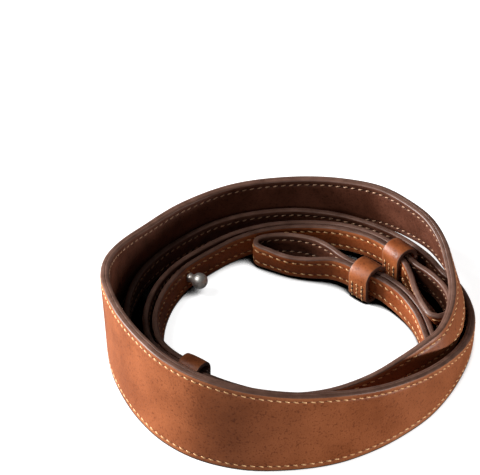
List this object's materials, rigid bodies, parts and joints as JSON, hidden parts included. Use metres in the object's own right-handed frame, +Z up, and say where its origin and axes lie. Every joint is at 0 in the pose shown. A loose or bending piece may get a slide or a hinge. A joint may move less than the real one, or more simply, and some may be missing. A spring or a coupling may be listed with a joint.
{
  "type": "camera neck strap",
  "caption": "Coiled leather camera neck strap standing on edge: wide lined shoulder band, narrow end straps doubled back into teardrop camera loops, leather keepers and ball studs.",
  "frame": {"origin": "on the surface the coil stands on, under the middle of its box", "axes": "+Z up, +Y away from the widest place of the neck band, towards the back of the coil"},
  "size_m": [0.1496, 0.1616, 0.0427],
  "materials": {
    "grain_leather": "waxed pull-up grain, tan brown, paler where it bends",
    "lining_leather": "smooth dark brown lining with a fine grain",
    "keeper_leather": "glossy orange tan grain",
    "stud_metal": "aged nickel plate, polished"
  },
  "bodies": {
    "root": {"neck_band_leather": "grain_leather", "neck_band_lining": "lining_leather", "strap_a_leather": "grain_leather", "strap_a_lining": "lining_leather", "strap_b_leather": "grain_leather", "strap_b_lining": "lining_leather", "keeper_a_loop": "keeper_leather", "keeper_a_tail": "keeper_leather", "keeper_b_loop": "keeper_leather", "keeper_b_tail": "keeper_leather", "stud_a_screw": "stud_metal", "stud_a_ball": "stud_metal", "stud_b_screw": "stud_metal", "stud_b_ball": "stud_metal"}
  },
  "joints": []
}
